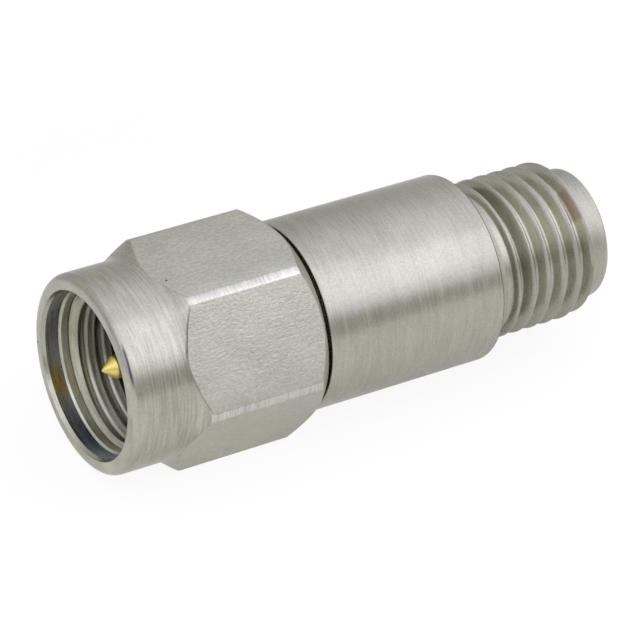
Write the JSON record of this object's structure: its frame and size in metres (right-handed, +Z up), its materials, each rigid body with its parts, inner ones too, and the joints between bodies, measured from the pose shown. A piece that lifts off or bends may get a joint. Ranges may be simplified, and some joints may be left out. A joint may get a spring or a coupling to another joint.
{
  "type": "rf attenuator",
  "caption": "In-line fixed coaxial attenuator in stainless steel: captive hexagon coupling nut and pin at one end, plain round barrel, threaded jack at the other.",
  "frame": {"origin": "on the axis at the plug's mating plane, where the ferrule ends and the slim pin begins", "axes": "+X along the axis towards the jack, +Z up, a flat of the nut facing down"},
  "size_m": [0.0222, 0.009, 0.008],
  "materials": {
    "stainless_steel": "turned and passivated",
    "gold_plate": "gold plated",
    "white_insulator": "machined, matte",
    "spring_bronze": "spring temper, bare",
    "carrier_brass": "machined",
    "chip_ceramic": "fired ceramic with a thin resistive film"
  },
  "bodies": {
    "body": {"plug_shell": "stainless_steel", "plug_insulator": "white_insulator", "plug_contact": "gold_plate", "barrel": "stainless_steel", "carrier_upper": "carrier_brass", "carrier_lower": "carrier_brass", "attenuator_chip": "chip_ceramic", "jack_contact": "gold_plate", "jack_insulator": "white_insulator", "jack_shell": "stainless_steel"},
    "ring": {"snap_ring": "spring_bronze"},
    "nut": {"coupling_nut": "stainless_steel"}
  },
  "joints": [
    {"name": "nut_float", "type": "slide", "parent": "body", "child": "ring", "axis": [1, 0, 0], "range_m": [0, 0.00016]},
    {"name": "nut_spin", "type": "hinge", "parent": "ring", "child": "nut", "pos_m": [0.004, 0, 0], "axis": [1, 0, 0], "continuous": true}
  ]
}
